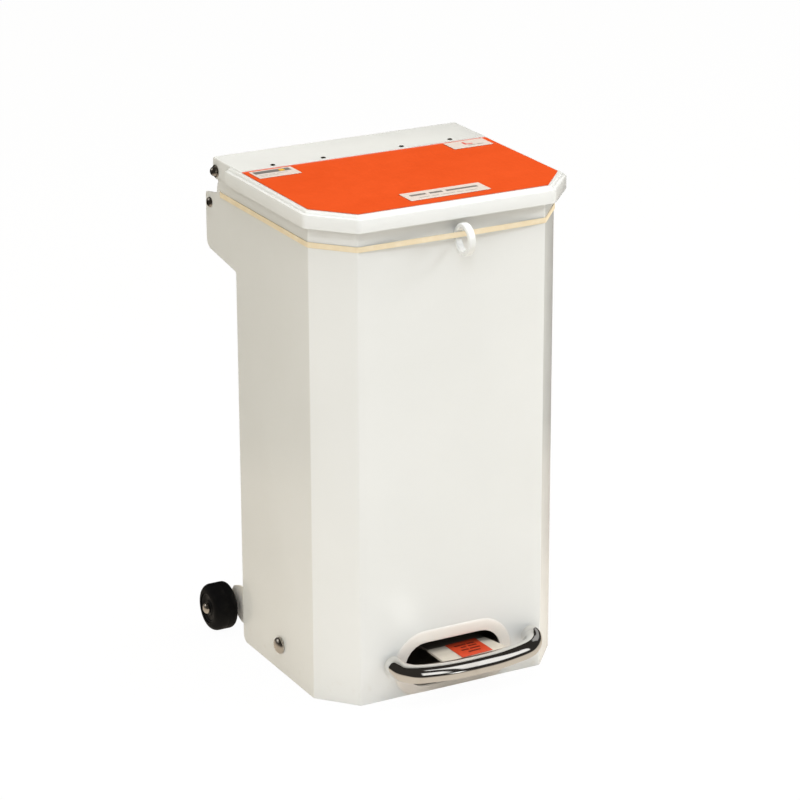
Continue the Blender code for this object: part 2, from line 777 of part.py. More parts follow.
# ---------------------------------------------------------------- lift rod
def lift_rod():
    """The upright rod behind the back panel, with a nylon head and foot."""
    head_top = LIFT_PIN_Z - LIFT_PIN_RADIUS - HEAD_CLEARANCE
    foot_bottom = PLATE_TOP + FOOT_CLEARANCE
    centre = (0, ROD_Y, 0)
    rod_low = foot_bottom + 0.006
    rod_high = head_top - 0.004
    turned("lift_rod", rod_profile(rod_low, rod_high, ROD_RADIUS), "Z", centre, zinc())
    bore = ROD_RADIUS + GAP
    head = [
        (head_top - 0.016, bore), (head_top - 0.016, 0.0065), (head_top - 0.006, ROD_HEAD_RADIUS),
        (head_top - 0.001, ROD_HEAD_RADIUS), (head_top, ROD_HEAD_RADIUS - 0.001), (head_top, 0.0),
        (rod_high + GAP, 0.0), (rod_high + GAP, bore),
    ]
    turned("lift_rod_head", head, "Z", centre, white_nylon())
    foot = [
        (foot_bottom + 0.018, bore), (foot_bottom + 0.018, 0.0065), (foot_bottom + 0.004, 0.0075),
        (foot_bottom + 0.001, 0.0055), (foot_bottom, 0.0), (rod_low - GAP, 0.0), (rod_low - GAP, bore),
    ]
    turned("lift_rod_foot", foot, "Z", centre, white_nylon())


def rod_guide(name, height):
    """An angle bracket on the back panel with a hole that the rod slides through."""
    face = BACK + GAP
    sheet = 0.003
    drop = 0.022
    outline = [
        (face, height), (ROD_Y + 0.011, height),
        (ROD_Y + 0.011, height - sheet), (face + sheet, height - sheet),
        (face + sheet, height - drop), (face, height - drop),
    ]
    guide = prism(name, outline, "X", -0.018, 0.018, zinc())
    cut_holes(guide, "Z", ROD_RADIUS + 0.0005, height - CUT, height + CUT, [(0.0, ROD_Y)])
    return guide


# ---------------------------------------------------------------- pedal
def bar_route():
    """The pedal bar's centre line from end to end."""
    right = smooth_route(BAR_HALF_ROUTE, 4)
    left = [Vector((-point.x, point.y, point.z)) for point in right[:0:-1]]
    return [point + Vector((BAR_X, 0, 0)) for point in left + right]


def pedal_bar():
    route = bar_route()
    swept("pedal_bar", route, BAR_RADIUS, chrome(), BAR_RADIUS - BAR_WALL, BAR_SIDES)
    def build(side, word):
        inside = route[:-8:-1] if side > 0 else route[:7]
        outwards = (inside[0] - inside[1]).normalized()
        stub = [inside[0] + outwards * PLUG_PROUD, *inside]
        swept(f"bar_plug_{word}", stub, BAR_RADIUS - BAR_WALL - 2 * GAP, white_nylon(), sides=BAR_SIDES)
    mirrored_pair(build)


def pedal_lever():
    """Tread plate, pivot cheeks and rear tongue as one welded lever."""
    web = PLATE_TOP - PLATE_SHEET
    outline = [
        (TREAD_LEFT, BAR_MEETS_TREAD), (TREAD_RIGHT, BAR_MEETS_TREAD),
        (TREAD_RIGHT_NECK, -0.118), (LEVER_HALF, -0.070),
        (LEVER_HALF, 0.070), (TONGUE_HALF, 0.105), (TONGUE_HALF, TONGUE_END), (-TONGUE_HALF, TONGUE_END),
        (-TONGUE_HALF, 0.105), (-LEVER_HALF, 0.070), (-LEVER_HALF, -0.070), (TREAD_LEFT, -0.105),
    ]
    radii = [0, 0, 0.02, 0.02, 0.01, 0.01, 0.006, 0.006, 0.01, 0.01, 0.02, 0.02]
    lever = prism("pedal_lever", rounded(outline, radii, 3), "Z", web, PLATE_TOP, tread_plate())
    cheek = [
        (-0.065, web + PLATE_SHEET / 2), (-0.060, 0.042), (-0.012, 0.027), (PEDAL_Y - 0.008, 0.0235),
        (PEDAL_Y + 0.010, 0.0235), (0.045, 0.030), (0.064, 0.042), (0.066, web + PLATE_SHEET / 2),
    ]
    for side in (-1, 1):
        ends = sorted((side * LEVER_HALF * 0.96, side * (LEVER_HALF * 0.96 - PLATE_SHEET)))
        combine(lever, prism(f"add_cheek_{side + 1}", cheek, "X", *ends, None), "UNION")
    cut_holes(lever, "X", BUSH_RADIUS + GAP, -LEVER_HALF - CUT, LEVER_HALF + CUT, [(PEDAL_Y, PEDAL_Z)])
    clearance = swept("cut_bar_seat", bar_route(), BAR_RADIUS + 2 * GAP, None, sides=BAR_SIDES)
    combine(lever, clearance, "DIFFERENCE")
    return lever


def pedal_pivot():
    """The cross shaft, its nylon bushes and the domed caps outside the body."""
    centre = (0, PEDAL_Y, PEDAL_Z)
    reach = HALF_WIDTH + 0.004
    turned("pedal_shaft", rod_profile(-reach, reach, SHAFT_RADIUS), "X", centre, zinc())
    def build(side, word):
        cheek_outer = LEVER_HALF * 0.96
        start = side * (cheek_outer + 0.003)
        end = side * (cheek_outer - PLATE_SHEET - 0.003)
        profile = rod_profile(start, end, BUSH_RADIUS, SHAFT_RADIUS + GAP)
        turned(f"lever_bush_{word}", profile, "X", centre, white_nylon())
        face = HALF_WIDTH + GAP
        cap = dome(face + 0.002, side, CAP_RADIUS, 0.0062)
        bore = SHAFT_RADIUS + GAP
        floor = side * (reach + GAP)
        cap += [(floor, 0.0), (floor, bore), (side * face, bore), (side * face, CAP_RADIUS)]
        turned(f"shaft_cap_{word}", cap, "X", centre, zinc())
    mirrored_pair(build)


# ---------------------------------------------------------------- wheels
def wheel_bracket(side, word):
    """An angle on the back panel whose lug carries the axle."""
    face = BACK + GAP
    sheet = 0.002
    lug = [
        (face, 0.0115), (0.160, 0.0115), (0.174, 0.0170), (0.188, 0.022), (0.1935, 0.0316),
        (0.190, 0.046), (0.1816, 0.0557), (0.166, 0.0615), (0.141, 0.066), (face, 0.066),
    ]
    ends = sorted((side * LUG_OUTER, side * (LUG_OUTER - sheet)))
    bracket = prism(f"wheel_bracket_{word}", lug, "X", *ends, white_paint())
    foot = sorted((side * (LUG_OUTER - sheet / 2), side * (LUG_OUTER - 0.040)))
    base = box(f"add_bracket_foot_{word}", (foot[0], face, 0.0125), (foot[1], face + sheet, 0.0655), None)
    combine(bracket, base, "UNION")
    reach = LUG_OUTER + CUT
    low, high = sorted((side * reach, side * (reach - 3 * CUT)))
    cut_holes(bracket, "X", AXLE_RADIUS + GAP, low, high, [(AXLE_Y, WHEEL_RADIUS)])
    return bracket


def wheels():
    """One axle through both brackets; each wheel is a tyre on a hub, kept on by a domed cap."""
    centre = (0, AXLE_Y, WHEEL_RADIUS)
    reach = WHEEL_OUTER + 0.003
    turned("wheel_axle", rod_profile(-reach, reach, AXLE_RADIUS), "X", centre, zinc())

    def build(side, word):
        wheel_bracket(side, word)
        bore = AXLE_RADIUS + GAP
        boss_end = side * (LUG_OUTER + GAP * 2)
        inner = side * (WHEEL_INNER + 0.001)
        outer = side * (WHEEL_OUTER - 0.0015)
        hub = [
            (boss_end, bore), (boss_end, 0.009), (inner, 0.010), (inner, HUB_RADIUS),
            (outer, HUB_RADIUS), (outer, 0.0185), (outer - side * 0.002, 0.0175),
            (outer - side * 0.002, 0.0105), (outer, 0.0095), (outer, bore),
        ]
        turned(f"wheel_hub_{word}", hub, "X", centre, black_plastic())
        corners = [
            (side * WHEEL_INNER, HUB_RADIUS + GAP), (side * WHEEL_INNER, WHEEL_RADIUS),
            (side * WHEEL_OUTER, WHEEL_RADIUS), (side * WHEEL_OUTER, HUB_RADIUS + GAP),
        ]
        tyre = rounded(corners, [0, TYRE_ROUND_INNER, TYRE_ROUND_OUTER, 0], 4)
        turned(f"wheel_tyre_{word}", tyre, "X", centre, black_rubber(), ROUND_TYRE)
        face = WHEEL_OUTER
        cap = dome(face, side, AXLE_CAP_RADIUS, 0.0055)
        cap += [(side * (reach + GAP), 0.0), (side * (reach + GAP), bore), (side * face, bore)]
        turned(f"axle_cap_{word}", cap, "X", centre, zinc())
    mirrored_pair(build)


# ---------------------------------------------------------------- band, ring and labels
def band_half():
    """Right half of the band's closed route in plan, from the ring round to the inside back."""
    stand_off = GAP + BAND_THICKNESS / 2
    corners = inset_corners(front_corners(HALF_WIDTH, FRONT, BAND_Y, CHAMFER_X, CHAMFER_Y), -stand_off)
    return [(RING_X, BAND_AT_RING_Y)] + corners[3:]


def rubber_band():
    """The flat elastic band that grips a bag round the body, through the ring and both side slots."""
    right = band_half()
    left = [(-x, y) for x, y in right[:0:-1]]
    middle = left + right
    turns = [0.0013, 0.006, 0.006, 0.02, 0.006, 0.006, 0.0013]
    centre = rounded(middle, turns, 5)
    low_turns = [max(turn + BAND_THICKNESS / 2, 0.0001) for turn in turns]
    outer = rounded(shifted(middle, BAND_THICKNESS / 2), low_turns, 5)
    inner = rounded(shifted(middle, -BAND_THICKNESS / 2), [turn - BAND_THICKNESS / 2 for turn in turns], 5)
    mesh_data = bmesh.new()
    rings = []
    for outline, edge in ((outer, -0.5), (outer, 0.5), (inner, 0.5), (inner, -0.5)):
        ring = []
        for (x, y), middle_point in zip(outline, centre):
            up = BAND_Z + band_rise(*middle_point) + edge * BAND_HEIGHT
            ring.append(mesh_data.verts.new((x, y, up)))
        rings.append(ring)
    for i, ring in enumerate(rings):
        join_rings(mesh_data, ring, rings[(i + 1) % len(rings)])
    return finish("rubber_band", mesh_data, latex())


def band_rise(x, y):
    """The band climbs across the front towards its ring."""
    if y > 0:
        return 0.0
    return BAND_LIFT * max(0.0, 1 - abs(x - RING_X) / (HALF_WIDTH - CHAMFER_X))


def shifted(corners, amount):
    """A closed outline, clockwise seen from above, moved outwards by an amount."""
    moved = []
    count = len(corners)
    for i in range(count):
        here = Vector(corners[i])
        before = (here - Vector(corners[i - 1])).normalized()
        after = (Vector(corners[(i + 1) % count]) - here).normalized()
        first = here + Vector((before.y, -before.x)) * amount
        second = here + Vector((after.y, -after.x)) * amount
        crossing = before.cross(after)
        if abs(crossing) < 1e-6:
            moved.append(tuple(first))
            continue
        reach = (second - first).cross(after) / crossing
        moved.append(tuple(first + before * reach))
    return moved


def band_ring():
    """The eye that the band passes through, screwed into the front and held by a nut inside."""
    section = ring_section(-RING_WIDTH / 2, RING_WIDTH / 2, RING_HOLE, RING_RADIUS, 0.0015)
    ring = turned("band_ring", section, "X", (RING_X, RING_Y, RING_Z), white_paint(), ROUND_TYRE)
    start = RING_Y + (RING_HOLE + RING_RADIUS) / 2
    end = FRONT + SHEET + 0.008
    shank = rod_profile(start, end, RING_STUB)
    stub = turned("add_ring_stub", shank, "Y", (RING_X, 0, RING_Z), None, ROUND_SMALL)
    combine(ring, stub, "UNION")
    inner_face = FRONT + SHEET + GAP
    hex_nut("ring_nut", "Y", inner_face, inner_face + 0.005, RING_X, RING_Z, 0.006)
    return ring


def label(name, centre, size, bottom, shade, turn=0.0):
    """A thin sticker lying flat on the lid or the tread, turned by some degrees."""
    width, depth = size
    along = Vector((math.cos(math.radians(turn)), math.sin(math.radians(turn))))
    across = Vector((-along.y, along.x))
    corners = []
    for right, back in ((-0.5, -0.5), (0.5, -0.5), (0.5, 0.5), (-0.5, 0.5)):
        corners.append(tuple(Vector(centre) + along * right * width + across * back * depth))
    outline = rounded(corners, [LABEL_CORNER] * 4, 3)
    return prism(name, outline, "Z", bottom + GAP, bottom + GAP + LABEL_THICKNESS, shade)


def on_axis(name, point, pieces):
    """Parent moving pieces to an empty on the axis that they turn about or slide along."""
    pivot = bpy.data.objects.new(name, None)
    pivot.location = point
    bpy.context.scene.collection.objects.link(pivot)
    for piece in pieces:
        child = bpy.data.objects[piece]
        child.parent = pivot
        child.matrix_parent_inverse = Matrix.Translation(-Vector(point))


def moving_pieces():
    lid = ["lid_tray", "lid_colour_panel", "hinge_plate", "lift_bracket", "lift_pin"]
    lid += ["label_rear_left", "label_rear_right", "label_front"]
    lid += [f"hinge_rivet_{number}" for number in range(1, len(RIVET_X) + 1)]
    on_axis("pivot_lid", (0, HINGE_Y, HINGE_Z), lid)
    on_axis("slide_lift_rod", (0, ROD_Y, 0), ["lift_rod", "lift_rod_head", "lift_rod_foot"])
    pedal = ["pedal_lever", "pedal_bar", "bar_plug_left", "bar_plug_right"]
    pedal += ["lever_bush_left", "lever_bush_right", "label_pedal"]
    on_axis("pivot_pedal", (0, PEDAL_Y, PEDAL_Z), pedal)
    for word, side in (("left", -1), ("right", 1)):
        centre = (side * (WHEEL_INNER + WHEEL_OUTER) / 2, AXLE_Y, WHEEL_RADIUS)
        on_axis(f"pivot_wheel_{word}", centre, [f"wheel_hub_{word}", f"wheel_tyre_{word}"])


def labels():
    lid_face = LID_TOP + GAP + COLOUR_THICKNESS
    label("label_rear_left", (-0.1390, 0.0775), (0.0580, 0.0330), lid_face, label_white())
    label("label_rear_right", (0.1380, 0.0800), (0.0570, 0.0310), lid_face, label_white())
    label("label_front", (0.0050, -0.0990), (0.1110, 0.0330), lid_face, label_white())
    label("label_pedal", (0.0210, -0.1345), (0.0455, 0.0430), PLATE_TOP, label_red(), turn=2.8)


def build():
    for made in list(bpy.data.objects):
        bpy.data.objects.remove(made, do_unlink=True)
    body_shell()
    back_panel()
    base_plate()
    inner_floor()
    grab_bar()
    lid_tray()
    lid_colour_panel()
    hinge_plate()
    hinge_rivets()
    hinge_bolts()
    lift_bracket()
    lid_buffers()
    lift_rod()
    rod_guide("rod_guide_lower", GUIDE_LOW)
    rod_guide("rod_guide_upper", GUIDE_HIGH)
    pedal_bar()
    pedal_lever()
    pedal_pivot()
    wheels()
    rubber_band()
    band_ring()
    labels()
    moving_pieces()


build()
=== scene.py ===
"""Looks of the pedal bin: studio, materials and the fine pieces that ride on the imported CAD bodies."""
import json
import math

import bmesh
import bpy
from mathutils import Matrix, Vector

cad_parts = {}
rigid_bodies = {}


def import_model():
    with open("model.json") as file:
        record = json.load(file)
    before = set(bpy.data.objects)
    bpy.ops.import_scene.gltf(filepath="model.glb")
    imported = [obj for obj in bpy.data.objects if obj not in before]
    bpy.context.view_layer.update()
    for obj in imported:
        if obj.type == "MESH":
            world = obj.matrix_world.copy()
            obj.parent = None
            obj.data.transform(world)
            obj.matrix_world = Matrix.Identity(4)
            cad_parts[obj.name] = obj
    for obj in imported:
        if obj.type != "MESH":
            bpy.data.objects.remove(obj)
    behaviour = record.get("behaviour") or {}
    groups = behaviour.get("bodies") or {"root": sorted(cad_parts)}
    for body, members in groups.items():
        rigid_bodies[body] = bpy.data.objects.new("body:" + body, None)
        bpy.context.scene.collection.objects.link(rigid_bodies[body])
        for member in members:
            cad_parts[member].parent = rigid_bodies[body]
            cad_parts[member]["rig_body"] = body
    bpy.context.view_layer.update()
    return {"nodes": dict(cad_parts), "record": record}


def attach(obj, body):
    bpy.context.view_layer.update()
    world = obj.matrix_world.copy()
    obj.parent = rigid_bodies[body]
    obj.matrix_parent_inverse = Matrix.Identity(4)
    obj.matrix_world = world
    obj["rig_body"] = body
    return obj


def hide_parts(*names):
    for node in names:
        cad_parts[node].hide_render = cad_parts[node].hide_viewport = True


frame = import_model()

# ---------------------------------------------------------------- camera and studio
CAMERA_PLACE = Vector((-1.8248, -3.4031, 1.7409))
CAMERA_HEADING = math.radians(-28.13)
CAMERA_DROP = math.radians(19.84)
CAMERA_ROLL = math.radians(-0.19)
CAMERA_LENS = 144.8               # millimetres, on the sensor below
CAMERA_SENSOR = 36

LIGHT_TARGET = Vector((0, 0, 0.3))
LIGHTS = (                        # name, azimuth, elevation, distance, size, power, colour
    ("key_left", -25, 44, 4.0, 0.8, 17, (0.94, 1.0, 1.12)),
    ("key_right", 59, 33, 4.0, 1.0, 32, (0.97, 1.0, 1.02)),
    ("top", 0, 84, 3.0, 2.0, 66, (1.0, 1.0, 1.0)),
    ("far_left", -60, 35, 4.0, 2.0, 36, (1.0, 1.0, 1.02)),
    ("right_side", 88, 25, 4.0, 2.0, 66, (1.0, 0.94, 0.89)),
    ("front", 5, 4, 4.0, 2.5, 8, (1.0, 1.0, 1.0)),
)
ROOM_FRONT = (0.415, 0.425, 0.410)    # what lights the bin from all round, above the floor
ROOM_BACK = (0.490, 0.405, 0.220)
ROOM_BLEND = 0.6                  # how far to the front and back one colour runs into the other
DARK_ROOM = (0.030, 0.027, 0.024)     # what chrome and paint mirror, apart from the soft boxes
SOFT_BOXES = (                    # azimuth, elevation, half width, half height in degrees, brightness
    (37, 31, 10, 21, 2.0),
    (12, 5, 5, 19, 2.0),
    (112, 32, 14, 14, 0.35),
    (-130, 30, 18, 14, 1.3),
)
SOFT_BOX_COLOUR = (1.0, 0.99, 0.97)
SOFT_EDGE = 3.0                   # degrees

FLOOR_REACH = 30.0
FLOOR_WHITE = 0.97                # how much of the floor's own brightness is plain white
FLOOR_BOUNCE = (0.93, 0.89, 0.84)     # the floor as it lights the bin
POOL = (0.68, 0.60, 0.50)         # the floor close round the bin, as it is mirrored
POOL_FAR = (0.36, 0.31, 0.26)
POOL_FADE = (0.22, 0.60)          # distances from the middle of the bin
POOL_END = (0.7, 1.0)
POOL_FRONT = (0.225, 0.29)        # the pool's front edge, which swings back on the left
POOL_SWING = 0.6
STRIP = (1.8, 1.8, 1.75)          # a bright strip on the mirrored floor, in front of the pedal bar
STRIP_HEADING = 12                # degrees
STRIP_SIDES = (8, 3)
STRIP_NEAR = (0.28, 0.33)
STRIP_FAR = (0.46, 0.38)

# ---------------------------------------------------------------- sizes taken from the CAD
GAP = 0.0003                      # between pieces that touch
HINGE = (0.173, 0.6315)           # y and z of each axis
PEDAL_PIVOT = (0.0153, 0.0370)
AXLE = (0.180, 0.0316)
FRONT_FACE = -0.1262              # just behind the front panel's outer face
SLOT_X, SLOT_Z = 0.0016, 0.0381   # middle of the pedal slot
SLOT_STRAIGHT = 0.0393            # half of its straight part
SLOT_RIM_PAINTED_LIGHT = (0.048, 0.043)         # where the pressed rim ends and its painted warm light fades out, from the slot's middle line
RING = (0.0043, -0.1497, 0.6013)
RIVET_X = (-0.1270, -0.0560, 0.0560, 0.1270)
RIVET_Y = 0.1088
TREAD_SLOT_SHADOW = (-0.1155, -0.1135)   # where a painted shadow of the slot's upper edge begins on the tread
BAR_X = 0.0124
BAR_Y = -0.165
BAR_RADIUS = 0.0123
BAR_WALL = 0.0015
PLUG_PROUD = 0.0008
PLUG_RINGS = 20                   # how many of the route's points each end plug follows
BAR_HALF_ROUTE = (                # the pedal bar's centre line, from its middle to one end
    (0.0, -0.1649, 0.0402), (0.0323, -0.1644, 0.0406), (0.0605, -0.1615, 0.0417),
    (0.0827, -0.1572, 0.0432), (0.0945, -0.1482, 0.0448), (0.0992, -0.1400, 0.0480),
    (0.0997, -0.1355, 0.0494), (0.0997, -0.1313, 0.0497),
)

# ---------------------------------------------------------------- finish of the pieces
SHARP_ANGLE = math.radians(40)    # edges steeper than this stay crisp
FLAT_ANGLE = math.radians(0.4)    # faces closer than this are one face
EASE_ANGLE = math.radians(32)
EASE_STEPS = 2
EASE = 0.0003                     # how far an arris is eased
WIDER_EASE = {"body_shell": 0.0005, "lid_tray": 0.0006, "hinge_plate": 0.0004}


def camera():
    data = bpy.data.cameras.new("camera")
    data.lens = CAMERA_LENS
    data.sensor_width = CAMERA_SENSOR
    made = bpy.data.objects.new("camera", data)
    bpy.context.scene.collection.objects.link(made)
    turn = Matrix.Rotation(CAMERA_HEADING, 4, "Z")
    tilt = Matrix.Rotation(math.pi / 2 - CAMERA_DROP, 4, "X")
    roll = Matrix.Rotation(CAMERA_ROLL, 4, "Z")
    made.matrix_world = Matrix.Translation(CAMERA_PLACE) @ turn @ tilt @ roll
    bpy.context.scene.camera = made


def area_light(name, azimuth, elevation, distance, size, power, colour):
    """A square soft light aimed at the middle of the bin; azimuth 0 is in front of it."""
    a, e = math.radians(azimuth), math.radians(elevation)
    away = Vector((math.sin(a) * math.cos(e), -math.cos(a) * math.cos(e), math.sin(e)))
    data = bpy.data.lights.new(name, "AREA")
    data.size = size
    data.energy = power
    data.color = colour
    made = bpy.data.objects.new(name, data)
    made.location = LIGHT_TARGET + away * distance
    made.rotation_mode = "QUATERNION"
    made.rotation_quaternion = (-away).to_track_quat("-Z", "Y")
    made.visible_glossy = False   # the soft boxes of the world are what chrome and paint mirror
    bpy.context.scene.collection.objects.link(made)


class Nodes:
    """Short ways to put a node tree together."""

    def __init__(self, tree):
        self.nodes, self.links = tree.nodes, tree.links

    def add(self, kind, **inputs):
        node = self.nodes.new(f"ShaderNode{kind}")
        for label, value in inputs.items():
            node.inputs[label.replace("_", " ")].default_value = value
        return node

    def math(self, operation, *values):
        node = self.nodes.new("ShaderNodeMath")
        node.operation = operation
        for socket, value in zip(node.inputs, values):
            if isinstance(value, (int, float)):
                socket.default_value = value
            else:
                self.links.new(value, socket)
        return node.outputs["Value"]

    def smooth_range(self, value, low, high, to_low=0.0, to_high=1.0):
        """A value carried from one range to another and held at its ends, softly."""
        node = self.add("MapRange", From_Min=low, From_Max=high, To_Min=to_low, To_Max=to_high)
        node.interpolation_type = "SMOOTHSTEP"
        self.links.new(value, node.inputs["Value"])
        return node.outputs["Result"]

    def mixed(self, factor, first, second):
        node = self.nodes.new("ShaderNodeMix")
        node.data_type = "RGBA"
        for label, value in (("Factor", factor), ("A", first), ("B", second)):
            if isinstance(value, tuple):
                node.inputs[label].default_value = (*value, 1)
            else:
                self.links.new(value, node.inputs[label])
        return node.outputs["Result"]

    def split(self, vector):
        node = self.nodes.new("ShaderNodeSeparateXYZ")
        self.links.new(vector, node.inputs[0])
        return node.outputs["X"], node.outputs["Y"], node.outputs["Z"]

    def choose(self, factor, first, second):
        node = self.nodes.new("ShaderNodeMixShader")
        for value, socket in zip((factor, first, second), node.inputs):
            self.links.new(value, socket)
        return node.outputs[0]


def world():
    """White behind the bin, a room that lights it, and a dark studio with soft boxes that it mirrors."""
    made = bpy.data.worlds.new("studio")
    bpy.context.scene.world = made
    made.use_nodes = True
    tree = Nodes(made.node_tree)
    tree.nodes.clear()
    white = tree.add("Background", Color=(1, 1, 1, 1))
    room = tree.add("Background")
    mirrored = tree.add("Background")
    x, y, z = tree.split(tree.add("TexCoord").outputs["Generated"])
    backward = tree.smooth_range(y, -ROOM_BLEND, ROOM_BLEND)
    tree.links.new(tree.mixed(backward, ROOM_FRONT, ROOM_BACK), room.inputs["Color"])
    azimuth = tree.math("MULTIPLY", tree.math("ARCTAN2", x, tree.math("MULTIPLY", y, -1.0)), 180 / math.pi)
    elevation = tree.math("MULTIPLY", tree.math("ARCSINE", z), 180 / math.pi)
    level = 0.0
    for at, up, half_width, half_height, brightness in SOFT_BOXES:
        aside = tree.math("ABSOLUTE", tree.math("SUBTRACT", azimuth, at))
        above = tree.math("ABSOLUTE", tree.math("SUBTRACT", elevation, up))
        inside = tree.math(
            "MULTIPLY",
            tree.smooth_range(aside, half_width + SOFT_EDGE, half_width - SOFT_EDGE),
            tree.smooth_range(above, half_height + SOFT_EDGE, half_height - SOFT_EDGE),
        )
        level = tree.math("ADD", tree.math("MULTIPLY", inside, brightness), level)
    colour = tree.mixed(level, DARK_ROOM, SOFT_BOX_COLOUR)
    tree.links.new(colour, mirrored.inputs["Color"])
    path = tree.add("LightPath")
    seen = tree.choose(path.outputs["Is Glossy Ray"], room.outputs[0], mirrored.outputs[0])
    out = tree.add("OutputWorld")
    final = tree.choose(path.outputs["Is Camera Ray"], seen, white.outputs[0])
    tree.links.new(final, out.inputs["Surface"])


def floor():
    """A pale floor that runs into the background; mirrored, it is a warm pool of light round the bin."""
    mesh = bpy.data.meshes.new("floor")
    reach = FLOOR_REACH
    corners = [(-reach, -reach, 0), (reach, -reach, 0), (reach, reach, 0), (-reach, reach, 0)]
    mesh.from_pydata(corners, [], [(0, 1, 2, 3)])
    made = bpy.data.objects.new("floor", mesh)
    bpy.context.scene.collection.objects.link(made)
    shade = bpy.data.materials.new("pale_floor")
    shade.use_nodes = True
    tree = Nodes(shade.node_tree)
    tree.nodes.clear()
    bounce = tree.add("BsdfDiffuse", Color=(*FLOOR_BOUNCE, 1))
    pale = tree.add("BsdfDiffuse", Color=(0.95, 0.95, 0.95, 1))
    glow = tree.add("Emission", Color=(1, 1, 1, 1))
    place = tree.add("TexCoord").outputs["Object"]
    away = tree.add("VectorMath")
    away.operation = "LENGTH"
    tree.links.new(place, away.inputs[0])
    x, y, _ = tree.split(place)
    forward = tree.math("MULTIPLY", y, -1.0)
    leftward = tree.math("MAXIMUM", tree.math("MULTIPLY", tree.math("ADD", x, 0.05), -POOL_SWING), 0.0)
    edge = tree.smooth_range(tree.math("SUBTRACT", forward, leftward), *POOL_FRONT)
    edge = tree.math("MAXIMUM", edge, tree.smooth_range(away.outputs["Value"], *POOL_END))
    lit = tree.mixed(tree.smooth_range(away.outputs["Value"], *POOL_FADE), POOL, POOL_FAR)
    lit = tree.mixed(edge, lit, DARK_ROOM)
    past_bar = tree.math("ADD", forward, BAR_Y)
    heading = tree.math("ARCTAN2", tree.math("SUBTRACT", x, BAR_X), past_bar)
    aside = tree.math("ABSOLUTE", tree.math("SUBTRACT", heading, math.radians(STRIP_HEADING)))
    strip = tree.smooth_range(aside, *(math.radians(angle) for angle in STRIP_SIDES))
    strip = tree.math("MULTIPLY", strip, tree.smooth_range(forward, *STRIP_NEAR))
    strip = tree.math("MULTIPLY", strip, tree.smooth_range(forward, *STRIP_FAR))
    pool = tree.add("Emission")
    tree.links.new(tree.mixed(strip, lit, STRIP), pool.inputs["Color"])
    seen = tree.add("MixShader", Fac=FLOOR_WHITE)
    tree.links.new(pale.outputs[0], seen.inputs[1])
    tree.links.new(glow.outputs[0], seen.inputs[2])
    path = tree.add("LightPath")
    unseen = tree.choose(path.outputs["Is Glossy Ray"], bounce.outputs[0], pool.outputs[0])
    out = tree.add("OutputMaterial")
    final = tree.choose(path.outputs["Is Camera Ray"], unseen, seen.outputs[0])
    tree.links.new(final, out.inputs["Surface"])
    mesh.materials.append(shade)


# ---------------------------------------------------------------- materials
class Surface(Nodes):
    """A Principled material that is put together from noise, masks and bump."""

    def __init__(self, name, **sockets):
        self.material = bpy.data.materials.new(name)
        self.material.use_nodes = True
        super().__init__(self.material.node_tree)
        self.shader = self.nodes["Principled BSDF"]
        self.place = self.add("TexCoord").outputs["Object"]
        for label, value in sockets.items():
            self.shader.inputs[label.replace("_", " ")].default_value = value

    def feed(self, label, socket):
        self.links.new(socket, self.shader.inputs[label])

    def scaled(self, x, y, z):
        """The object's own coordinates, stretched along each axis."""
        node = self.add("Mapping", Scale=(x, y, z))
        self.links.new(self.place, node.inputs["Vector"])
        return node.outputs["Vector"]

    def noise(self, scale, detail=3.0, place=None):
        node = self.add("TexNoise", Scale=scale, Detail=detail)
        self.links.new(place or self.place, node.inputs["Vector"])
        return node.outputs["Fac"]

    def clouds(self, scale, detail, low, high, to_low=0.0, to_high=1.0):
        """Soft noise between two levels, carried to a range of its own."""
        return self.smooth_range(self.noise(scale, detail), low, high, to_low, to_high)

    def bump(self, height, distance):
        node = self.add("Bump", Strength=1.0, Distance=distance)
        self.links.new(height, node.inputs["Height"])
        self.feed("Normal", node.outputs["Normal"])


def powder_coat():
    """Glossy white powder coat: orange peel, mottling, painted warm light on the pressed rim round the
    slot, scuffs near the floor.
    """
    made = Surface("powder_coat", IOR=1.5, Coat_Weight=0.6, Coat_Roughness=0.05)
    coat = made.mixed(made.clouds(6.0, 4.0, 0.3, 0.7), (0.742, 0.755, 0.748), (0.760, 0.773, 0.768))
    x, y, z = made.split(made.place)
    aside = made.math("SUBTRACT", made.math("ABSOLUTE", made.math("SUBTRACT", x, SLOT_X)), SLOT_STRAIGHT)
    aside = made.math("MAXIMUM", aside, 0.0)
    above = made.math("SUBTRACT", z, SLOT_Z)
    squares = made.math("ADD", made.math("MULTIPLY", aside, aside), made.math("MULTIPLY", above, above))
    away = made.math("SQRT", squares)
    # painted light: the pressed rim round the pedal slot is coloured creamier, standing in for the light it
    # catches
    rim = made.math("MULTIPLY", made.smooth_range(away, *SLOT_RIM_PAINTED_LIGHT), made.math("LESS_THAN", y, FRONT_FACE))
    coat = made.mixed(rim, coat, (0.80, 0.755, 0.705))
    low = made.smooth_range(z, 0.0, 0.05, 1.0, 0.0)
    scuff = made.math("MULTIPLY", low, made.clouds(70.0, 6.0, 0.58, 0.72, 0.0, 0.30))
    made.feed("Base Color", made.mixed(scuff, coat, (0.62, 0.59, 0.54)))
    made.feed("Roughness", made.clouds(30.0, 3.0, 0.3, 0.7, 0.22, 0.26))
    made.bump(made.noise(260.0, 1.0), 0.00002)
    return made.material


def bracket_painted_light():
    """Bright white coat on the wheel brackets, painted brighter than the body's coat to stand in for light
    they miss in their shaded corner; thinner and yellower in patches.
    """
    made = Surface("bracket_coat_painted_light", IOR=1.5, Coat_Weight=0.3, Coat_Roughness=0.08)
    patches = made.clouds(25.0, 4.0, 0.3, 0.7)
    # painted light: near-white colour, well above the body's coat, for the brackets' shaded place behind
    # the wheels
    made.feed("Base Color", made.mixed(patches, (0.97, 0.95, 0.90), (0.95, 0.92, 0.86)))
    made.feed("Roughness", made.clouds(60.0, 3.0, 0.3, 0.7, 0.26, 0.34))
    made.bump(made.noise(260.0, 1.0), 0.00002)
    return made.material


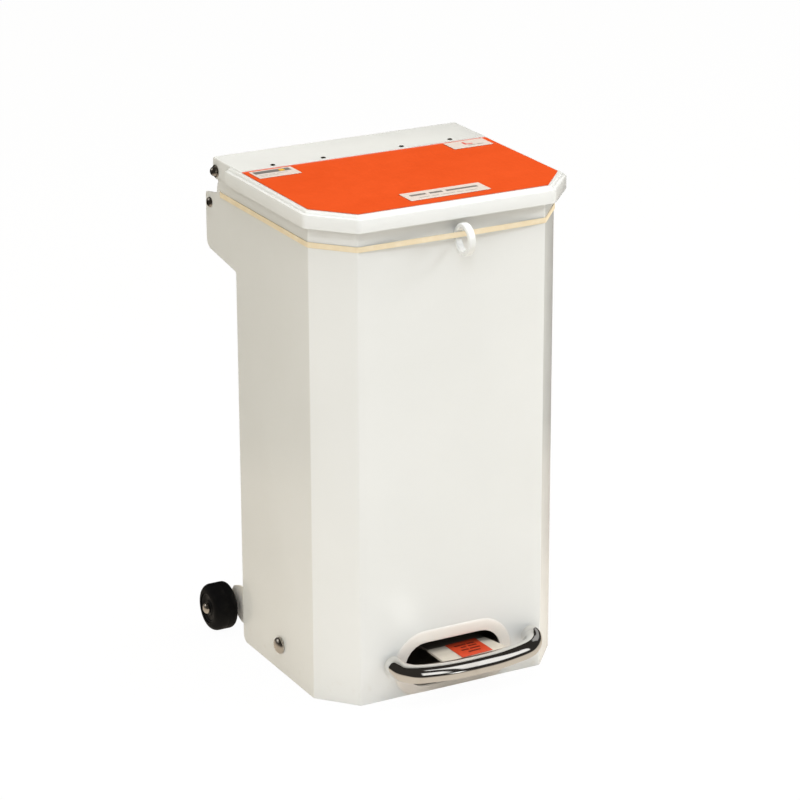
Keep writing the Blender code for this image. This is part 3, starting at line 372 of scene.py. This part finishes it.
def orange_sheet():
    """Orange film on the lid: even colour, faint handling haze and fine grain."""
    made = Surface("orange_film", IOR=1.45, Specular_IOR_Level=0.4)
    haze = made.clouds(9.0, 5.0, 0.3, 0.7)
    made.feed("Base Color", made.mixed(haze, (0.615, 0.066, 0.0092), (0.635, 0.071, 0.0108)))
    made.feed("Roughness", made.clouds(40.0, 6.0, 0.3, 0.7, 0.36, 0.46))
    made.bump(made.noise(420.0, 3.0), 0.00002)
    return made.material


def bright_chrome():
    """Polished chrome with handling smudges and hairline scratches."""
    made = Surface("bright_chrome", Metallic=1.0)
    smudge = made.clouds(35.0, 6.0, 0.45, 0.75)
    made.feed("Base Color", made.mixed(smudge, (0.83, 0.82, 0.80), (0.76, 0.74, 0.71)))
    made.feed("Roughness", made.clouds(35.0, 6.0, 0.40, 0.75, 0.055, 0.11))
    made.bump(made.noise(60.0, 4.0, made.scaled(1.0, 14.0, 14.0)), 0.0000015)
    return made.material


def zinc_plate():
    """Bright zinc plating: blotchy passivation, fine drawing lines."""
    made = Surface("zinc_plate", Metallic=1.0)
    blotch = made.clouds(90.0, 3.0, 0.3, 0.7)
    made.feed("Base Color", made.mixed(blotch, (0.64, 0.59, 0.52), (0.57, 0.53, 0.48)))
    made.feed("Roughness", made.clouds(45.0, 2.0, 0.3, 0.7, 0.24, 0.29))
    made.bump(made.noise(300.0, 2.0), 0.000004)
    return made.material


def inside_steel_painted_shade():
    """Dark steel on the sheets and brackets inside the bin, used in place of their own finish as painted
    shade for the dark inside: streaky and dusty.
    """
    made = Surface("inside_steel_painted_shade", Metallic=0.6)
    streak = made.clouds(30.0, 6.0, 0.35, 0.7)
    # painted shade: base colours near 0.2 to 0.3 keep the inside of the bin dark
    made.feed("Base Color", made.mixed(streak, (0.30, 0.27, 0.24), (0.22, 0.20, 0.18)))
    made.feed("Roughness", made.clouds(180.0, 4.0, 0.3, 0.7, 0.50, 0.68))
    made.bump(made.noise(500.0, 4.0), 0.00003)
    return made.material


def tyre_rubber():
    """Black rubber with a little dust in its grain."""
    made = Surface("tyre_rubber", IOR=1.5, Specular_IOR_Level=0.15)
    dust = made.clouds(150.0, 7.0, 0.55, 0.80)
    made.feed("Base Color", made.mixed(dust, (0.0030, 0.0030, 0.0034), (0.0065, 0.0062, 0.0060)))
    made.feed("Roughness", made.clouds(60.0, 5.0, 0.3, 0.7, 0.55, 0.75))
    made.bump(made.noise(1100.0, 3.0), 0.00005)
    return made.material


def moulded_black():
    """Black moulded plastic with a fine spark-eroded grain."""
    made = Surface("moulded_black", IOR=1.46, Specular_IOR_Level=0.3)
    worn = made.clouds(90.0, 5.0, 0.5, 0.8)
    made.feed("Base Color", made.mixed(worn, (0.0055, 0.0055, 0.006), (0.014, 0.0135, 0.013)))
    made.feed("Roughness", made.clouds(200.0, 4.0, 0.3, 0.7, 0.40, 0.55))
    made.bump(made.noise(1600.0, 2.0), 0.00003)
    return made.material


def natural_nylon():
    """Off-white moulded nylon, slightly cloudy."""
    made = Surface("natural_nylon", IOR=1.53, Subsurface_Weight=0.08, Subsurface_Scale=0.002)
    cloud = made.clouds(110.0, 4.0, 0.3, 0.7)
    made.feed("Base Color", made.mixed(cloud, (0.76, 0.74, 0.68), (0.82, 0.81, 0.76)))
    made.feed("Roughness", made.clouds(300.0, 3.0, 0.3, 0.7, 0.36, 0.50))
    made.bump(made.noise(1200.0, 2.0), 0.00002)
    return made.material


def tan_rubber():
    """The elastic band: matt tan rubber, ribbed along its length and slightly bloomed."""
    made = Surface("tan_rubber", IOR=1.5, Specular_IOR_Level=0.3)
    bloom = made.clouds(70.0, 6.0, 0.4, 0.7)
    made.feed("Base Color", made.mixed(bloom, (0.78, 0.665, 0.47), (0.82, 0.72, 0.54)))
    made.feed("Roughness", made.clouds(120.0, 4.0, 0.3, 0.7, 0.55, 0.75))
    made.bump(made.noise(60.0, 3.0, made.scaled(0.4, 0.4, 30.0)), 0.00012)
    return made.material


def beige_plate():
    """Satin beige paint on the tread, rubbed lighter where feet press it; behind it, a dark brown-grey
    painted shadow of the slot's upper edge.
    """
    made = Surface("beige_plate", IOR=1.5)
    rub = made.clouds(45.0, 6.0, 0.4, 0.7)
    paint = made.mixed(rub, (0.59, 0.54, 0.455), (0.64, 0.59, 0.51))
    # painted shadow: the tread turns dark where the slot's upper edge would shade it
    slot_shadow = made.smooth_range(made.split(made.place)[1], *TREAD_SLOT_SHADOW)
    made.feed("Base Color", made.mixed(slot_shadow, paint, (0.13, 0.115, 0.10)))
    made.feed("Roughness", made.clouds(150.0, 5.0, 0.3, 0.7, 0.36, 0.52))
    made.bump(made.noise(700.0, 3.0), 0.00004)
    return made.material


# ---------------------------------------------------------------- labels, with plain bars for print
GREY_INK = (0.16, 0.15, 0.145)
SOFT_INK = (0.19, 0.17, 0.16)
PALE_INK = (0.33, 0.31, 0.29)
YELLOW_INK = (0.72, 0.42, 0.03)
RED_INK = (0.62, 0.05, 0.03)
DARK_RED_INK = (0.15, 0.020, 0.010)
PAPER = ((0.62, 0.55, 0.51), (0.58, 0.515, 0.47))           # as printed, and rubbed
RED_PAPER = ((0.60, 0.066, 0.024), (0.55, 0.060, 0.021))
TREAD_LABEL_TURN = 2.8            # degrees


def printed(name, paper, marks, turn=0.0, pivot=(0.0, 0.0)):
    """A sticker: paper colour, plain printed bars, a soft gloss and a few rubbed spots."""
    made = Surface(name, IOR=1.47)
    colour = made.mixed(made.clouds(150.0, 5.0, 0.45, 0.75), *paper)
    node = made.add("VectorRotate", Center=(*pivot, 0.0), Angle=-math.radians(turn))
    made.links.new(made.place, node.inputs["Vector"])
    across, along, _ = made.split(node.outputs["Vector"])
    for (x, y), (width, depth), ink in marks:
        inside = made.math("COMPARE", across, x, width / 2)
        mask = made.math("MULTIPLY", inside, made.math("COMPARE", along, y, depth / 2))
        colour = made.mixed(mask, colour, ink)
    made.feed("Base Color", colour)
    made.feed("Roughness", made.clouds(300.0, 4.0, 0.3, 0.7, 0.30, 0.42))
    made.bump(made.noise(800.0, 2.0), 0.00001)
    return made.material


def dashes(left, y, depth, lengths, gap, ink):
    """A broken line of printed bars that starts at the left."""
    marks = []
    for length in lengths:
        marks.append(((left + length / 2, y), (length, depth), ink))
        left += length + gap
    return marks


def rear_left_label():
    x, y = -0.1390, 0.0775
    marks = [((x - 0.001, y + 0.0075), (0.050, 0.0110), GREY_INK)]
    marks += [((x + 0.0125, y + 0.0075), (0.0070, 0.0080), YELLOW_INK)]
    marks += dashes(x - 0.024, y - 0.004, 0.0016, (0.012, 0.008, 0.015), 0.002, PALE_INK)
    marks += dashes(x - 0.024, y - 0.009, 0.0016, (0.009, 0.014), 0.002, PALE_INK)
    return printed("label_rear_left_print", PAPER, marks)


def rear_right_label():
    x, y = 0.1380, 0.0800
    marks = [((x - 0.0045, y + 0.0030), (0.0035, 0.0110), RED_INK)]
    marks += [((x + 0.0010, y - 0.0010), (0.0095, 0.0032), RED_INK)]
    marks += dashes(x - 0.004, y - 0.0065, 0.0018, (0.011, 0.010), 0.0015, GREY_INK)
    return printed("label_rear_right_print", PAPER, marks)


def front_label():
    x, y = 0.0050, -0.0990
    marks = dashes(x - 0.047, y + 0.0035, 0.0062, (0.022, 0.018, 0.044), 0.005, SOFT_INK)
    marks += dashes(x - 0.040, y - 0.0085, 0.0020, (0.014, 0.010, 0.019, 0.009, 0.016), 0.003, PALE_INK)
    return printed("label_front_print", PAPER, marks)


def tread_label():
    x, y = 0.0210, -0.1345
    ink = DARK_RED_INK
    marks = dashes(x - 0.015, y + 0.0115, 0.0034, (0.017, 0.011), 0.002, ink)
    marks += dashes(x - 0.009, y + 0.0045, 0.0034, (0.008, 0.012), 0.003, ink)
    marks += dashes(x - 0.013, y - 0.0030, 0.0034, (0.011, 0.015), 0.002, ink)
    marks += dashes(x - 0.007, y - 0.0105, 0.0034, (0.018,), 0.002, ink)
    return printed("label_tread_print", RED_PAPER, marks, TREAD_LABEL_TURN, (x, y))


# ---------------------------------------------------------------- which material each piece has
SLOT_OF = {part["node"]: part["material_slot"] for part in frame["record"]["subparts"]}
SHADES = {
    "white_powder_coat": powder_coat(),
    "orange_panel": orange_sheet(),
    "chrome": bright_chrome(),
    "zinc_steel": zinc_plate(),
    "beige_tread": beige_plate(),
    "black_rubber": tyre_rubber(),
    "black_plastic": moulded_black(),
    "white_nylon": natural_nylon(),
    "tan_latex": tan_rubber(),
}
LABEL_SHADES = {
    "label_rear_left": rear_left_label(),
    "label_rear_right": rear_right_label(),
    "label_front": front_label(),
    "label_pedal": tread_label(),
}
# pieces inside the bin, given dark steel as painted shade
INSIDE = ("base_plate", "inner_floor", "lift_bracket", "rod_guide_lower", "rod_guide_upper")
INSIDE_PAINTED_SHADE = inside_steel_painted_shade()
BRACKET_PAINTED_LIGHT = bracket_painted_light()


def shade_of(node):
    if node in INSIDE:
        return INSIDE_PAINTED_SHADE
    # the wheel brackets get the brighter coat, as painted light
    if node.startswith("wheel_bracket"):
        return BRACKET_PAINTED_LIGHT
    return LABEL_SHADES.get(node) or SHADES[SLOT_OF[node]]


# ---------------------------------------------------------------- pieces that keep the CAD's shape
REPLACED = set()                  # the CAD nodes that have a piece of their own by now


def finished(name, mesh_data, node):
    """A piece that stands for one CAD node: same body, and the material chosen for that node."""
    bmesh.ops.recalc_face_normals(mesh_data, faces=mesh_data.faces)
    mesh = bpy.data.meshes.new(name)
    mesh_data.to_mesh(mesh)
    mesh_data.free()
    mesh.shade_smooth()
    mesh.set_sharp_from_angle(angle=SHARP_ANGLE)
    mesh.materials.append(shade_of(node))
    made = bpy.data.objects.new(name, mesh)
    bpy.context.scene.collection.objects.link(made)
    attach(made, frame["nodes"][node]["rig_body"])
    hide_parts(node)
    REPLACED.add(node)
    return made


def eased(node):
    """The CAD node's own shape with its arrises eased, so that they catch the light."""
    source = frame["nodes"][node].data
    welded = bmesh.new()
    welded.from_mesh(source)
    bmesh.ops.remove_doubles(welded, verts=welded.verts, dist=1e-6)
    bmesh.ops.dissolve_limit(welded, angle_limit=FLAT_ANGLE, verts=welded.verts, edges=welded.edges)
    clean = bmesh.new()
    verts = {vert: clean.verts.new(vert.co) for vert in welded.verts}
    for face in welded.faces:
        clean.faces.new([verts[vert] for vert in face.verts])
    welded.free()
    step = finished(f"{node}_eased", clean, node).modifiers.new("ease", "BEVEL")
    step.width = WIDER_EASE.get(node, EASE)
    step.segments = EASE_STEPS
    step.limit_method = "ANGLE"
    step.angle_limit = EASE_ANGLE
    step.use_clamp_overlap = True
    step.harden_normals = False


# ---------------------------------------------------------------- fine pieces
def spun(mesh_data, profile, axis, centre, sides):
    """A closed (along, radius) profile turned about an axis through the centre."""
    order = {"X": (0, 1, 2), "Y": (1, 0, 2), "Z": (2, 0, 1)}[axis]
    rings = []
    for along, radius in profile:
        ring = []
        for i in range(1 if radius < 1e-9 else sides):
            angle = 2 * math.pi * i / sides
            spot = Vector(centre)
            for place, step in zip(order, (along, radius * math.cos(angle), radius * math.sin(angle))):
                spot[place] += step
            ring.append(mesh_data.verts.new(spot))
        rings.append(ring)
    for here, there in zip(rings, rings[1:] + rings[:1]):
        if len(here) == 1 and len(there) == 1:
            continue
        for i in range(sides):
            after = (i + 1) % sides
            corners = [here[i % len(here)], here[after % len(here)]]
            corners += [there[after % len(there)], there[i % len(there)]]
            mesh_data.faces.new(list(dict.fromkeys(corners)))


def spun_piece(node, profile, centre, axis="X", sides=96):
    mesh_data = bmesh.new()
    spun(mesh_data, profile, axis, centre, sides)
    finished(f"{node}_fine", mesh_data, node)


def quarter(centre, radius, start, end, steps=8):
    """Points (along, radius) on an arc, angles in degrees."""
    angles = [math.radians(start + (end - start) * i / steps) for i in range(steps + 1)]
    return [(centre[0] + radius * math.cos(a), centre[1] + radius * math.sin(a)) for a in angles]


def facing(side, points):
    """The same profile on the left (-1) or on the right (+1)."""
    return [(side * along, radius) for along, radius in points]


def dome(face, radius, height, steps=12):
    """The outside of a domed head that stands on a face, from its rim to its crown."""
    crown = quarter((0.0, 0.0), 1.0, 0, 90, steps)
    return [(face + height * up, radius * out) for out, up in crown]


def smooth_route(points, steps):
    """Catmull-Rom points through a list of places."""
    places = [Vector(point) for point in points]
    padded = [2 * places[0] - places[1], *places, 2 * places[-1] - places[-2]]
    route = []
    for a, b, c, d in zip(padded, padded[1:], padded[2:], padded[3:]):
        for step in range(steps):
            t = step / steps
            bend = (2 * a - 5 * b + 4 * c - d) * t * t + (3 * b - a - 3 * c + d) * t ** 3
            route.append((2 * b + (c - a) * t + bend) / 2)
    return route + [places[-1]]


def tube(mesh_data, route, radius, sides):
    """Rings of a round section carried along a route without twist, joined into a wall."""
    rings = []
    side = None
    for i, here in enumerate(route):
        along = (route[min(i + 1, len(route) - 1)] - route[max(i - 1, 0)]).normalized()
        side = along.cross(Vector((0, 0, 1))) if side is None else side - along * side.dot(along)
        side.normalize()
        up = side.cross(along)
        ring = []
        for j in range(sides):
            angle = 2 * math.pi * j / sides
            spoke = side * math.cos(angle) + up * math.sin(angle)
            ring.append(mesh_data.verts.new(here + spoke * radius))
        rings.append(ring)
    for first, second in zip(rings, rings[1:]):
        skin(mesh_data, first, second)
    return rings[0], rings[-1]


def skin(mesh_data, first, second):
    """A band of faces between two rings."""
    for i in range(len(first)):
        after = (i + 1) % len(first)
        mesh_data.faces.new((first[i], first[after], second[after], second[i]))


def pedal_bar():
    """The chromed tube, drawn finely enough to mirror the room without facets, and its end plugs."""
    right = smooth_route(BAR_HALF_ROUTE, 12)
    left = [Vector((-point.x, point.y, point.z)) for point in right[:0:-1]]
    route = [point + Vector((BAR_X, 0, 0)) for point in left + right]
    bore = BAR_RADIUS - BAR_WALL
    mesh_data = bmesh.new()
    for first, second in zip(tube(mesh_data, route, BAR_RADIUS, 64), tube(mesh_data, route, bore, 64)):
        skin(mesh_data, first, second)
    finished("pedal_bar_fine", mesh_data, "pedal_bar")
    for word, end in (("left", route[:PLUG_RINGS]), ("right", route[: -PLUG_RINGS - 1 : -1])):
        outwards = (end[0] - end[1]).normalized()
        mesh_data = bmesh.new()
        caps = tube(mesh_data, [end[0] + outwards * PLUG_PROUD, *end], bore - 2 * GAP, 48)
        for cap in caps:
            mesh_data.faces.new(cap)
        finished(f"bar_plug_{word}_fine", mesh_data, f"bar_plug_{word}")


def bolts_and_caps():
    """Domed hinge bolts, shaft caps and axle caps, and the rivets along the lid's back."""
    for side, word in ((-1, "left"), (1, "right")):
        end, head, collar, shank = 0.1580, 0.1760, 0.1778, 0.004
        points = [(head, 0.0079), (head + 0.0003, 0.0083), (collar - 0.0004, 0.0082), (collar, 0.0078)]
        points += [(collar, 0.0066)] + dome(collar, 0.0064, 0.0062)
        points += [(end, 0.0), (end, shank), (head, shank)]
        spun_piece(f"hinge_bolt_{word}", facing(side, points), (0, *HINGE))
        face, floor_of_hole, hole = 0.1728, 0.1768, 0.0063
        points = [(face, 0.0107), (face + 0.0003, 0.0110)] + dome(0.1748, 0.0110, 0.0062)
        points += [(floor_of_hole, 0.0), (floor_of_hole, hole), (face, hole)]
        spun_piece(f"shaft_cap_{word}", facing(side, points), (0, *PEDAL_PIVOT))
        face, floor_of_hole, hole = 0.2005, 0.2038, 0.0053
        points = [(face, 0.0073)] + dome(0.2007, 0.0076, 0.0053)
        points += [(floor_of_hole, 0.0), (floor_of_hole, hole), (face, hole)]
        spun_piece(f"axle_cap_{word}", facing(side, points), (0, *AXLE))
    for number, x in enumerate(RIVET_X, 1):
        face, under = 0.6486, 0.6450
        points = [(face, 0.0031)] + dome(face + 0.0001, 0.0033, 0.0010, 8)
        points += [(under - 0.002, 0.0), (under - 0.002, 0.0020), (under, 0.0023)]
        points += [(under, 0.0018), (face, 0.0018)]
        spun_piece(f"hinge_rivet_{number}", points, (x, RIVET_Y, 0), "Z", 48)


def wheels():
    """Solid rubber tyres with rounded shoulders and a mould line, on black hubs with a dished face."""
    inner, outer, hub, top = 0.1683, 0.2005, 0.0200, 0.0316
    small, large = 0.0065, 0.0100     # the shoulders' radii, inside and outside
    hub_end, bore = 0.1606, 0.0053
    for side, word in ((-1, "left"), (1, "right")):
        tyre = [(inner, hub + GAP)] + quarter((inner + small, top - small), small, 180, 90)
        middle = (inner + outer) / 2 - 0.002
        tyre += [(middle - 0.0005, top), (middle, top - 0.0002), (middle + 0.0005, top)]
        tyre += quarter((outer - large, top - large), large, 90, 0) + [(outer, hub + GAP)]
        spun_piece(f"wheel_tyre_{word}", facing(side, tyre), (0, *AXLE), sides=128)
        face = outer - 0.0015
        points = [(hub_end, bore), (hub_end, 0.0087), (hub_end + 0.0003, 0.0090), (inner + 0.001, 0.0100)]
        points += [(inner + 0.001, hub - 0.0005), (inner + 0.0015, hub)]
        points += [(face - 0.0004, hub), (face, hub - 0.0004), (face, 0.0188)]
        points += [(face - 0.0005, 0.0182), (face - 0.0018, 0.0176), (face - 0.002, 0.0170)]
        points += [(face - 0.002, 0.0110), (face - 0.0016, 0.0103), (face - 0.0003, 0.0098), (face, 0.0092)]
        points += [(face, bore)]
        spun_piece(f"wheel_hub_{word}", facing(side, points), (0, *AXLE), sides=128)


def band_ring():
    """The moulded eye with rounded edges; its shank runs through the front to a nut."""
    half, hole, rim, soft = 0.00475, 0.0145, 0.0203, 0.0018
    points = quarter((-half + soft, hole + soft), soft, 270, 180, 6)
    points += quarter((-half + soft, rim - soft), soft, 180, 90, 6)
    points += quarter((half - soft, rim - soft), soft, 90, 0, 6)
    points += quarter((half - soft, hole + soft), soft, 0, -90, 6)
    spun_piece("band_ring", points, RING, sides=128)
    start, end, radius = -0.1305, -0.1175, 0.003
    shank = [(start, 0.0), (start, radius), (end, radius), (end, 0.0)]
    mesh_data = bmesh.new()
    spun(mesh_data, shank, "Y", (RING[0], 0, RING[2]), 32)
    finished("band_ring_shank", mesh_data, "band_ring")


# ---------------------------------------------------------------- the scene
bpy.context.scene.view_settings.view_transform = "Standard"
camera()
world()
floor()
for light in LIGHTS:
    area_light(*light)

pedal_bar()
bolts_and_caps()
wheels()
band_ring()
for node_name in frame["nodes"]:
    if node_name not in REPLACED:
        eased(node_name)
